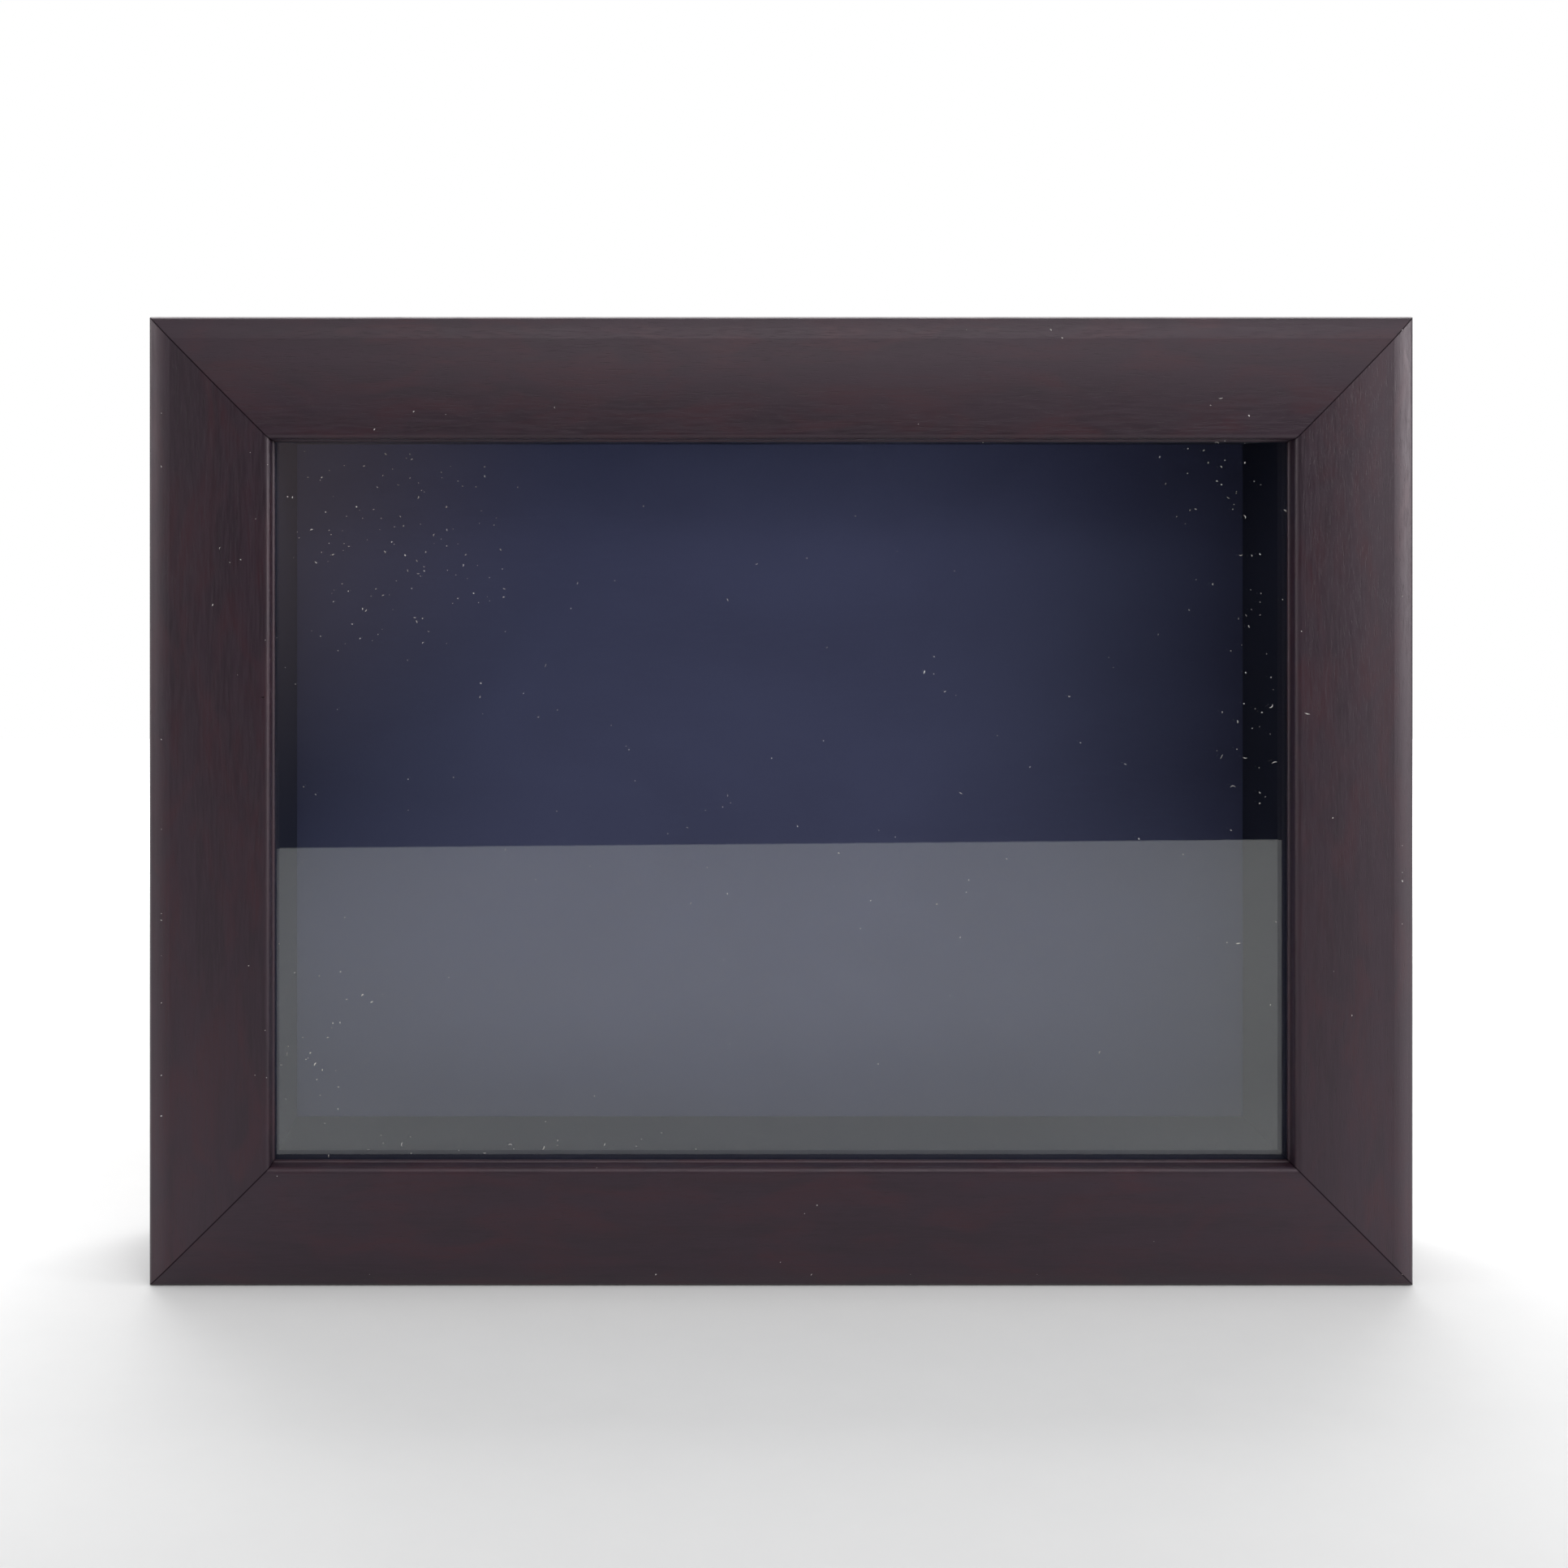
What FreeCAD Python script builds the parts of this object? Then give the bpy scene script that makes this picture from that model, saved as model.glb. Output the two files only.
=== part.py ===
import FreeCAD, Part
import math
import os

# A landscape shadow box for an A4-format display: a deep mitred wooden moulding that is loaded from the
# back. Front to back it holds a glass pane, four lining strips, a velvet-covered board and a back panel,
# which six turn buttons lock in. It stands on its lower rail or hangs by two D-rings.
# Millimetres. +X is right as seen from the front, +Y to the back, +Z up.
# The origin is the middle of the underside.

Vector = FreeCAD.Vector
ALONG_X = Vector(1, 0, 0)
ALONG_Y = Vector(0, 1, 0)
ALONG_Z = Vector(0, 0, 1)

# Moulding, outer size
WIDTH = 364.0
HEIGHT = 279.0
DEPTH = 60.0
FRONT_Y = -DEPTH / 2
REAR_Y = DEPTH / 2
MIDDLE_Z = HEIGHT / 2
CORNER_RADIUS = 0.8

# Moulding, section: widths run inwards from the outer edge and depths run back from the face
FACE_WIDTH = 35.5
CROWN_RADIUS = 160.0  # the broad crown, which starts level at the bead
SHOULDER_WIDTH = 6.5  # outside this the crown turns down more sharply
SHOULDER_BEND = 16.0
EDGE_RADIUS = 2.0
BEAD_RADIUS = 1.8
LIP_DEPTH = 7.2
RIDGE_DEPTH = 6.0  # middle of the half-round ridge on the sight wall
RIDGE_HALF_WIDTH = 0.9
RIDGE_HEIGHT = 0.6
RABBET_WIDTH = 32.0  # wood left beside the rabbet
MITRE_REACH = FACE_WIDTH + 5.0

# V-shaped nails across each mitre, driven in from the back
NAIL_WING = 5.0
NAIL_THICKNESS = 0.5
NAIL_LENGTH = 10.0
NAIL_PLACES = (8.0, 21.0)  # width at which each nail's point sits

# What the rabbet holds
GLASS_THICKNESS = 2.0
STRIP_THICKNESS = 3.2
VELVET_THICKNESS = 0.6
BOARD_THICKNESS = 3.0
PANEL_THICKNESS = 3.0
PANE_CLEARANCE = 0.5  # round the glass and round the back
BACK_GAP = 0.3  # between the lining strips and the velvet
PANEL_RECESS = 0.5  # from the back panel to the rear of the moulding

PANEL_FRONT_Y = REAR_Y - PANEL_RECESS - PANEL_THICKNESS
BOARD_FRONT_Y = PANEL_FRONT_Y - BOARD_THICKNESS
VELVET_FRONT_Y = BOARD_FRONT_Y - VELVET_THICKNESS
GLASS_FRONT_Y = FRONT_Y + LIP_DEPTH
STRIP_FRONT_Y = GLASS_FRONT_Y + GLASS_THICKNESS
STRIP_LENGTH_Y = VELVET_FRONT_Y - BACK_GAP - STRIP_FRONT_Y
RABBET_X = WIDTH - 2 * RABBET_WIDTH
RABBET_Z = HEIGHT - 2 * RABBET_WIDTH

# Wood screws: a plain shoulder under a domed head with a cross recess
HEAD_RADIUS = 3.4
HEAD_HEIGHT = 2.0
DOME_RADIUS = 4.2
SHOULDER_RADIUS = 2.0
SHANK_RADIUS = 1.5
SHANK_LENGTH = 9.0
POINT_LENGTH = 2.5
POINT_RADIUS = 0.2
RECESS_WIDTH = 0.8
RECESS_SPAN = 3.6
RECESS_DEPTH = 1.1

# Turn buttons
BUTTON_REACH = 15.0  # pivot to tip
BUTTON_PIVOT_RADIUS = 5.0
BUTTON_TIP_RADIUS = 3.5
BUTTON_THICKNESS = 1.0
BUTTON_HOLE_RADIUS = SHOULDER_RADIUS + 0.08
BUTTON_PLAY = 0.1  # under the plate and under the screw head
BUTTON_LIP_WIDTH = 1.0
BUTTON_LIP_HEIGHT = 2.0
BUTTON_WIDTH_PLACE = 25.0  # pivot's place across the moulding
BUTTON_X = 80.0

# D-ring hangers on the side rails
STRAP_WIDTH = 10.0
STRAP_THICKNESS = 1.0
STRAP_LENGTH = 42.0  # pin axis to the lower end
STRAP_SCREWS = (20.0, 34.0)  # distances below the pin axis
WIRE_RADIUS = 1.2
CURL_INNER_RADIUS = WIRE_RADIUS + 0.08
CURL_OUTER_RADIUS = CURL_INNER_RADIUS + STRAP_THICKNESS
PIN_Y = REAR_Y + 2.8
PIN_Z = 215.0
RING_HALF_WIDTH = 7.7
RING_BEND_RADIUS = 2.0
RING_REACH = 12.5  # pin axis to the middle of the bow
HANGER_WIDTH_PLACE = 16.0
HANGER_X = WIDTH / 2 - HANGER_WIDTH_PLACE

# Wall bumpers
BUMPER_RADIUS = 5.0
BUMPER_THICKNESS = 3.0
BUMPER_EDGE = 0.8
BUMPER_X = WIDTH / 2 - 42.0
BUMPER_Z = 16.0

# Each side's name, its outward corner ends and the way in from its outer edge
LEFT_X, RIGHT_X = -WIDTH / 2, WIDTH / 2
SIDES = {
    "bottom": (Vector(LEFT_X, 0, 0), Vector(RIGHT_X, 0, 0), ALONG_Z),
    "top": (Vector(LEFT_X, 0, HEIGHT), Vector(RIGHT_X, 0, HEIGHT), -ALONG_Z),
    "left": (Vector(LEFT_X, 0, 0), Vector(LEFT_X, 0, HEIGHT), ALONG_X),
    "right": (Vector(RIGHT_X, 0, 0), Vector(RIGHT_X, 0, HEIGHT), -ALONG_X),
}

# Each turn button's name, pivot and the way it points when it lies along its rail
BUTTON_LOW_Z = BUTTON_WIDTH_PLACE
BUTTON_HIGH_Z = HEIGHT - BUTTON_WIDTH_PLACE
BUTTON_SIDE_X = WIDTH / 2 - BUTTON_WIDTH_PLACE
BUTTONS = {
    "top_left": (-BUTTON_X, BUTTON_HIGH_Z, -ALONG_X),
    "top_right": (BUTTON_X, BUTTON_HIGH_Z, ALONG_X),
    "bottom_left": (-BUTTON_X, BUTTON_LOW_Z, -ALONG_X),
    "bottom_right": (BUTTON_X, BUTTON_LOW_Z, ALONG_X),
    "left": (-BUTTON_SIDE_X, MIDDLE_Z, -ALONG_Z),
    "right": (BUTTON_SIDE_X, MIDDLE_Z, -ALONG_Z),
}
HANGERS = {"left": -HANGER_X, "right": HANGER_X}


def line(a, b):
    return Part.LineSegment(a, b).toShape()


def arc(a, middle, b):
    return Part.Arc(a, middle, b).toShape()


def block(x0, x1, y0, y1, z0, z1):
    return Part.makeBox(x1 - x0, y1 - y0, z1 - z0, Vector(x0, y0, z0))


def rod(radius, length, centre, direction):
    return Part.makeCylinder(radius, length, centre, direction)


def filled(edges):
    return Part.Face(Part.Wire(edges))


def arc_middle(centre, radius, a, b):
    """The point halfway along a short arc between two points."""
    return centre + ((a - centre) + (b - centre)).normalize() * radius


def face_arcs(bead_start):
    """The broad crown, the sharper shoulder and the edge roll, each tangent to the next."""
    crown_centre = bead_start + ALONG_Y * CROWN_RADIUS
    lean = math.asin((bead_start.x - SHOULDER_WIDTH) / CROWN_RADIUS)
    inwards = Vector(math.sin(lean), math.cos(lean), 0)
    shoulder_start = crown_centre - inwards * CROWN_RADIUS
    shoulder_centre = shoulder_start + inwards * SHOULDER_BEND
    gap = SHOULDER_BEND - EDGE_RADIUS
    roll_y = shoulder_centre.y - math.sqrt(gap**2 - (shoulder_centre.x - EDGE_RADIUS) ** 2)
    roll_centre = Vector(EDGE_RADIUS, roll_y, 0)
    roll_start = shoulder_centre + (roll_centre - shoulder_centre) * (SHOULDER_BEND / gap)
    side_end = Vector(0, roll_y, 0)
    roll_middle = arc_middle(roll_centre, EDGE_RADIUS, side_end, roll_start)
    shoulder_middle = arc_middle(shoulder_centre, SHOULDER_BEND, roll_start, shoulder_start)
    crown_middle = arc_middle(crown_centre, CROWN_RADIUS, shoulder_start, bead_start)
    arcs = [
        arc(side_end, roll_middle, roll_start),
        arc(roll_start, shoulder_middle, shoulder_start),
        arc(shoulder_start, crown_middle, bead_start),
    ]
    return side_end, arcs


def section_edges():
    """The moulding's section, with width along X and depth along Y."""
    bead_start = Vector(FACE_WIDTH - BEAD_RADIUS, 0, 0)
    side_end, arcs = face_arcs(bead_start)
    bead_end = Vector(FACE_WIDTH, BEAD_RADIUS, 0)
    slant = BEAD_RADIUS * math.sqrt(0.5)
    bead_middle = Vector(bead_start.x + slant, BEAD_RADIUS - slant, 0)
    ridge_front = Vector(FACE_WIDTH, RIDGE_DEPTH - RIDGE_HALF_WIDTH, 0)
    ridge_top = Vector(FACE_WIDTH + RIDGE_HEIGHT, RIDGE_DEPTH, 0)
    ridge_back = Vector(FACE_WIDTH, RIDGE_DEPTH + RIDGE_HALF_WIDTH, 0)
    lip_back = Vector(FACE_WIDTH, LIP_DEPTH, 0)
    rabbet_corner = Vector(RABBET_WIDTH, LIP_DEPTH, 0)
    rabbet_rear = Vector(RABBET_WIDTH, DEPTH, 0)
    outer_rear = Vector(0, DEPTH, 0)
    return arcs + [
        arc(bead_start, bead_middle, bead_end),
        line(bead_end, ridge_front),
        arc(ridge_front, ridge_top, ridge_back),
        line(ridge_back, lip_back),
        line(lip_back, rabbet_corner),
        line(rabbet_corner, rabbet_rear),
        line(rabbet_rear, outer_rear),
        line(outer_rear, side_end),
    ]


def moulding_length(start, end, inward):
    """The section run from one outer corner to the other, before mitring."""
    along = (end - start).normalize()
    section = filled(section_edges())
    turn = FreeCAD.Matrix()
    turn.A11, turn.A21, turn.A31 = inward.x, inward.y, inward.z
    turn.A12, turn.A22, turn.A32 = 0, 1, 0
    normal = inward.cross(ALONG_Y)
    turn.A13, turn.A23, turn.A33 = normal.x, normal.y, normal.z
    turn.A14, turn.A24, turn.A34 = start.x, FRONT_Y, start.z
    section = section.transformed(turn)
    return section.extrude(along * (end - start).Length)


def mitre_block(start, end, inward):
    """A block whose ends slope at 45 degrees from the outer corners."""
    along = (end - start).normalize()
    corners = [
        start,
        end,
        end + (inward - along) * MITRE_REACH,
        start + (inward + along) * MITRE_REACH,
    ]
    corners = [corner + ALONG_Y * FRONT_Y for corner in corners]
    outline = Part.makePolygon(corners + corners[:1])
    return Part.Face(outline).extrude(ALONG_Y * DEPTH)


def rounded_outline():
    """The box's outer shape, with its four long corners rounded."""
    box = block(LEFT_X, RIGHT_X, FRONT_Y, REAR_Y, 0, HEIGHT)
    long_edges = []
    for edge in box.Edges:
        ends = [vertex.Point for vertex in edge.Vertexes]
        if abs(ends[0].y - ends[1].y) > DEPTH / 2:
            long_edges.append(edge)
    return box.makeFillet(CORNER_RADIUS, long_edges)


def v_nail(corner, inward_x, inward_z):
    """Two thin wings along the rails, which meet at a point on the mitre."""
    y0 = REAR_Y - NAIL_LENGTH
    wing_x = sorted((corner.x, corner.x + inward_x * NAIL_WING))
    wing_z = sorted((corner.z, corner.z + inward_z * NAIL_WING))
    thick_x = sorted((corner.x, corner.x + inward_x * NAIL_THICKNESS))
    thick_z = sorted((corner.z, corner.z + inward_z * NAIL_THICKNESS))
    flat = block(*wing_x, y0, REAR_Y, *thick_z)
    upright = block(*thick_x, y0, REAR_Y, *wing_z)
    return flat.fuse(upright).removeSplitter()


def v_nails():
    nails = []
    for side_x in (-1, 1):
        for z, inward_z in ((0, 1), (HEIGHT, -1)):
            for place in NAIL_PLACES:
                point = Vector(side_x * (WIDTH / 2 - place), 0, z + inward_z * place)
                nails.append(v_nail(point, -side_x, inward_z))
    return nails


def domed_head(head_y):
    """A short cylinder whose top is cut to a sphere, with a cross recess."""
    top_y = head_y + HEAD_HEIGHT
    disc = rod(HEAD_RADIUS, HEAD_HEIGHT, Vector(0, head_y, 0), ALONG_Y)
    dome = Part.makeSphere(DOME_RADIUS, Vector(0, top_y - DOME_RADIUS, 0))
    floor_y = top_y - RECESS_DEPTH
    long, short = RECESS_SPAN / 2, RECESS_WIDTH / 2
    flat = block(-long, long, floor_y, top_y, -short, short)
    upright = block(-short, short, floor_y, top_y, -long, long)
    return disc.common(dome).cut(flat.fuse(upright))


def wood_screw(x, z, shoulder):
    """A screw driven in along -Y at the moulding's rear, whose shoulder stands out by that length."""
    surface = Vector(0, REAR_Y, 0)
    shank_end = Vector(0, REAR_Y - SHANK_LENGTH, 0)
    screw = domed_head(REAR_Y + shoulder)
    screw = screw.fuse(rod(SHOULDER_RADIUS, shoulder, surface, ALONG_Y))
    screw = screw.fuse(rod(SHANK_RADIUS, SHANK_LENGTH, surface, -ALONG_Y))
    point = Part.makeCone(SHANK_RADIUS, POINT_RADIUS, POINT_LENGTH, shank_end, -ALONG_Y)
    screw = screw.fuse(point).removeSplitter()
    screw.translate(Vector(x, 0, z))
    return screw


def button_screws():
    shoulder = BUTTON_THICKNESS + 2 * BUTTON_PLAY
    return [wood_screw(x, z, shoulder) for x, z, _ in BUTTONS.values()]


def strap_screws():
    screws = []
    for x in HANGERS.values():
        for below in STRAP_SCREWS:
            screws.append(wood_screw(x, PIN_Z - below, STRAP_THICKNESS))
    return screws


def button_outline():
    """Two circles and their common tangents, pointing along +X from the pivot."""
    centre_gap = BUTTON_REACH - BUTTON_TIP_RADIUS
    lean = math.acos((BUTTON_PIVOT_RADIUS - BUTTON_TIP_RADIUS) / centre_gap)
    cos, sin = math.cos(lean), math.sin(lean)
    pivot_up = Vector(BUTTON_PIVOT_RADIUS * cos, 0, BUTTON_PIVOT_RADIUS * sin)
    tip_up = Vector(centre_gap + BUTTON_TIP_RADIUS * cos, 0, BUTTON_TIP_RADIUS * sin)
    pivot_down = Vector(pivot_up.x, 0, -pivot_up.z)
    tip_down = Vector(tip_up.x, 0, -tip_up.z)
    return filled(
        [
            line(pivot_up, tip_up),
            arc(tip_up, Vector(BUTTON_REACH, 0, 0), tip_down),
            line(tip_down, pivot_down),
            arc(pivot_down, Vector(-BUTTON_PIVOT_RADIUS, 0, 0), pivot_up),
        ]
    )


def turn_button(x, z, direction):
    """A steel plate with a finger lip turned up round its tip."""
    outline = button_outline()
    plate = outline.extrude(ALONG_Y * BUTTON_THICKNESS)
    raised = outline.extrude(ALONG_Y * (BUTTON_THICKNESS + BUTTON_LIP_HEIGHT))
    tip_centre = Vector(BUTTON_REACH - BUTTON_TIP_RADIUS, 0, 0)
    full_height = BUTTON_THICKNESS + BUTTON_LIP_HEIGHT
    inside = rod(BUTTON_TIP_RADIUS - BUTTON_LIP_WIDTH, full_height, tip_centre, ALONG_Y)
    wide = BUTTON_PIVOT_RADIUS
    behind = block(-wide, tip_centre.x, 0, full_height, -wide, wide)
    button = plate.fuse(raised.cut(inside).cut(behind)).removeSplitter()
    button = button.cut(rod(BUTTON_HOLE_RADIUS, full_height, Vector(0, 0, 0), ALONG_Y))
    angle = math.degrees(math.atan2(-direction.z, direction.x))
    button.rotate(Vector(0, 0, 0), ALONG_Y, angle)
    button.translate(Vector(x, REAR_Y + BUTTON_PLAY, z))
    return button


def hanger_strap(x):
    """A steel strap whose top end stands up and curls round the ring's straight side."""
    half = STRAP_WIDTH / 2
    low_centre = Vector(x, REAR_Y, PIN_Z - STRAP_LENGTH + half)
    riser_top = PIN_Z - CURL_INNER_RADIUS
    riser_low = PIN_Z - CURL_OUTER_RADIUS
    plate_y = REAR_Y + STRAP_THICKNESS
    strap = block(x - half, x + half, REAR_Y, plate_y, low_centre.z, riser_top)
    strap = strap.fuse(rod(half, STRAP_THICKNESS, low_centre, ALONG_Y))
    strap = strap.fuse(block(x - half, x + half, REAR_Y, PIN_Y, riser_low, riser_top))
    curl_end = Vector(x - half, PIN_Y, PIN_Z)
    strap = strap.fuse(rod(CURL_OUTER_RADIUS, STRAP_WIDTH, curl_end, ALONG_X))
    strap = strap.cut(rod(CURL_INNER_RADIUS, STRAP_WIDTH, curl_end, ALONG_X))
    for below in STRAP_SCREWS:
        hole = rod(SHOULDER_RADIUS, STRAP_THICKNESS, Vector(x, REAR_Y, PIN_Z - below), ALONG_Y)
        strap = strap.cut(hole)
    return strap.removeSplitter()


def ring_path():
    """Clockwise from the straight side: bend, leg, bow, leg and bend, in the XZ plane."""
    half, bend = RING_HALF_WIDTH, RING_BEND_RADIUS
    inset = bend * (1 - math.sqrt(0.5))
    leg_end = RING_REACH - half
    right_bar = Vector(half - bend, 0, 0)
    right_leg = Vector(half, 0, -bend)
    right_bow = Vector(half, 0, -leg_end)
    left_bow = Vector(-half, 0, -leg_end)
    left_leg = Vector(-half, 0, -bend)
    left_bar = Vector(bend - half, 0, 0)
    return [
        line(Vector(0, 0, 0), right_bar),
        arc(right_bar, Vector(half - inset, 0, -inset), right_leg),
        line(right_leg, right_bow),
        arc(right_bow, Vector(0, 0, -RING_REACH), left_bow),
        line(left_bow, left_leg),
        arc(left_leg, Vector(inset - half, 0, -inset), left_bar),
        line(left_bar, Vector(0, 0, 0)),
    ]


def hanger_ring(x):
    path = Part.Wire(ring_path())
    circle = Part.Wire(Part.makeCircle(WIRE_RADIUS, Vector(0, 0, 0), ALONG_X))
    ring = path.makePipeShell([circle], True, False)
    ring.translate(Vector(x, PIN_Y, PIN_Z))
    return ring


def bumper(x):
    disc = rod(BUMPER_RADIUS, BUMPER_THICKNESS, Vector(x, REAR_Y, BUMPER_Z), ALONG_Y)
    outer_rim = []
    for edge in disc.Edges:
        if edge.BoundBox.YMin > REAR_Y + BUMPER_THICKNESS / 2:
            outer_rim.append(edge)
    return disc.makeFillet(BUMPER_EDGE, outer_rim)


def sheet(front_y, thickness):
    """A flat sheet that fits the rabbet with clearance all round."""
    half_x = RABBET_X / 2 - PANE_CLEARANCE
    half_z = RABBET_Z / 2 - PANE_CLEARANCE
    z0, z1 = MIDDLE_Z - half_z, MIDDLE_Z + half_z
    return block(-half_x, half_x, front_y, front_y + thickness, z0, z1)


def lining_strip(side):
    """Top and bottom strips run the rabbet's full width, and the side strips fit between them."""
    half_x, half_z = RABBET_X / 2, RABBET_Z / 2
    y0, y1 = STRIP_FRONT_Y, STRIP_FRONT_Y + STRIP_LENGTH_Y
    inner_x, inner_z = half_x - STRIP_THICKNESS, half_z - STRIP_THICKNESS
    spans = {
        "bottom": (-half_x, half_x, -half_z, -inner_z),
        "top": (-half_x, half_x, inner_z, half_z),
        "left": (-half_x, -inner_x, -inner_z, inner_z),
        "right": (inner_x, half_x, -inner_z, inner_z),
    }
    x0, x1, z0, z1 = spans[side]
    return block(x0, x1, y0, y1, MIDDLE_Z + z0, MIDDLE_Z + z1)


def rail(side, outline, pockets):
    """One mitred length of moulding, with the pockets of what is driven into it."""
    start, end, inward = SIDES[side]
    wood = moulding_length(start, end, inward)
    wood = wood.common(mitre_block(start, end, inward)).common(outline)
    for item in pockets:
        if item.BoundBox.intersect(wood.BoundBox):
            wood = wood.cut(item)
    return wood


def build():
    nails = v_nails()
    screws = button_screws()
    hanger_screws = strap_screws()
    outline = rounded_outline()
    nodes = {}
    for side in SIDES:
        nodes[f"{side}_rail"] = [rail(side, outline, nails + screws + hanger_screws)]
        nodes[f"{side}_lining_strip"] = [lining_strip(side)]
    nodes["corner_v_nails"] = nails
    nodes["glass_pane"] = [sheet(GLASS_FRONT_Y, GLASS_THICKNESS)]
    nodes["velvet_cover"] = [sheet(VELVET_FRONT_Y, VELVET_THICKNESS)]
    nodes["display_board"] = [sheet(BOARD_FRONT_Y, BOARD_THICKNESS)]
    nodes["back_panel"] = [sheet(PANEL_FRONT_Y, PANEL_THICKNESS)]
    for name, (x, z, direction) in BUTTONS.items():
        nodes[f"turn_button_{name}"] = [turn_button(x, z, direction)]
    nodes["turn_button_screws"] = screws
    for name, x in HANGERS.items():
        nodes[f"{name}_hanger_strap"] = [hanger_strap(x)]
        nodes[f"{name}_hanger_ring"] = [hanger_ring(x)]
    nodes["hanger_screws"] = hanger_screws
    nodes["wall_bumpers"] = [bumper(-BUMPER_X), bumper(BUMPER_X)]
    return nodes


def export(nodes):
    os.makedirs("parts", exist_ok=True)
    for name, pieces in nodes.items():
        solids = [solid for piece in pieces for solid in piece.Solids]
        shape = solids[0] if len(solids) == 1 else Part.makeCompound(solids)
        if not shape.isValid():
            raise ValueError(f"{name} isn't a valid shape")
        shape.exportStep(f"parts/{name}.step")
        print(f"{name}: {len(solids)} solids, {shape.Volume:.1f} mm3")


export(build())
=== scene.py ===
import math
import random

import bmesh
import bpy
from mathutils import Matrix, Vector


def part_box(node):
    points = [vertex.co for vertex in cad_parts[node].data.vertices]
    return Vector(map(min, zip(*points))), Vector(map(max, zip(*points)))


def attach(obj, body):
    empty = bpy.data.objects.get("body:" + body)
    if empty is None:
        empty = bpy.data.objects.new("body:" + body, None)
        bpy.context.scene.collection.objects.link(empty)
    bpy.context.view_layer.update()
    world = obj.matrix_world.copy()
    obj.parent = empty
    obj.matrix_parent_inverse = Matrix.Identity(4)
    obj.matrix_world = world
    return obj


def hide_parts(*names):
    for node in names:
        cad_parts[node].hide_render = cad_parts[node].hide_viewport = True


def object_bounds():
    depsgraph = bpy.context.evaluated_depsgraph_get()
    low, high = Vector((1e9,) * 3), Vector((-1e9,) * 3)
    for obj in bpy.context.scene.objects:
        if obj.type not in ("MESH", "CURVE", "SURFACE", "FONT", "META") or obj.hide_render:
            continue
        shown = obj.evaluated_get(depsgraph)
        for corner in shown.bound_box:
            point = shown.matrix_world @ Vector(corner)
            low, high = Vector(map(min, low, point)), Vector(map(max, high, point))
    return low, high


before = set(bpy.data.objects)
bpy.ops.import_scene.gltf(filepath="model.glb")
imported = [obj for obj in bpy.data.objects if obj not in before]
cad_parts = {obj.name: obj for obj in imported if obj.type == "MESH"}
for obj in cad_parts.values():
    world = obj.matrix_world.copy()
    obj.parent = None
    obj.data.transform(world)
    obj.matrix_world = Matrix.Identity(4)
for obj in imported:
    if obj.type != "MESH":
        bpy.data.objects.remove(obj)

# The looks of a dark wooden shadow box. Metres, in the CAD frame: +X right, +Y back, +Z up.
MM = 0.001
CAD_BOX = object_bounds()

RAILS = {"bottom_rail": "X", "top_rail": "X", "left_rail": "Z", "right_rail": "Z"}
LININGS = ("bottom_lining_strip", "top_lining_strip", "left_lining_strip", "right_lining_strip")
HARDWARE = [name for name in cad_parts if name.startswith("turn_button") or "hanger" in name]

FACE_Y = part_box("bottom_rail")[0][1]
GLASS_LOW, GLASS_HIGH = (Vector(corner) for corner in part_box("glass_pane"))

# Stained wood
WOOD_DARK = (0.0120, 0.0060, 0.0112)
WOOD_MIDDLE = (0.0170, 0.0080, 0.0150)
WOOD_LIGHT = (0.0215, 0.0110, 0.0190)
WOOD_RED = (0.0300, 0.0070, 0.0120)
WOOD_PORE = (0.0050, 0.0030, 0.0046)
LACQUER_TINT = (1.0, 0.87, 0.93, 1.0)
# Its marks: length along the grain and width across it, then the noise's detail and distortion
WOOD_CLOUD = (26 * MM, 9 * MM, 4.0, 0.8)
WOOD_FIGURE = (90 * MM, 7 * MM, 3.0, 0.6)
WOOD_STREAKS = (9 * MM, 0.55 * MM, 3.0, 0.0)
WOOD_PORES = (3.5 * MM, 0.22 * MM, 2.0, 0.0)
# The noise values between which each mark grows, and how far it takes over
CLOUD_RANGE, CLOUD_SHARE = (0.42, 0.70), 0.7
FIGURE_RANGE = (0.35, 0.68)
STREAK_RANGE, STREAK_SHARE = (0.36, 0.66), 0.55
PORE_RANGE, PORE_SHARE = (0.58, 0.70), 0.5
LACQUER_RANGE, LACQUER_ROUGHNESS = (0.25, 0.75), (0.36, 0.47)
LACQUER_GLOSS, MITRE_GLOSS = 0.5, 0.08
STREAK_RELIEF, WOOD_RELIEF_DEPTH, WOOD_RELIEF_STRENGTH = 0.5, 0.03 * MM, 0.5
MITRE_CORE, MITRE_LINE, MITRE_SHARE = 0.08 * MM, 0.42 * MM, 0.75  # how far each reaches from the joint
RAIL_GRAIN_STEP = (3.7, 1.9, 5.3)  # moves the grain from one rail to the next

# Velvet, and the darker lining: the pile's two tones, and its sheen
VELVET_TONES = (0.063, 0.064, 0.130), (0.072, 0.074, 0.148)
VELVET_SHEEN = 0.25
LINING_TONES = (0.014, 0.014, 0.029), (0.018, 0.018, 0.037)
LINING_SHEEN = 0.05
SHEEN_TINT, SHEEN_ROUGHNESS = (0.45, 0.50, 0.85, 1.0), 0.45
VELVET_ROUGHNESS, VELVET_GLOSS = 0.95, 0.15
BRUSHED_SCALE, BRUSHED_RANGE = (9, 9, 14), (0.30, 0.70)
STROKE_SCALE, STROKE_RANGE, STROKE_SHARE = (120, 120, 700), (0.45, 0.75), 0.30
PILE_SCALE, PILE_RANGE, PILE_SHARE = 1700.0, (0.45, 0.80), 0.10
PILE_SHADE, PILE_DEPTH, PILE_STRENGTH = 0.55, 0.03 * MM, 0.10
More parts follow.
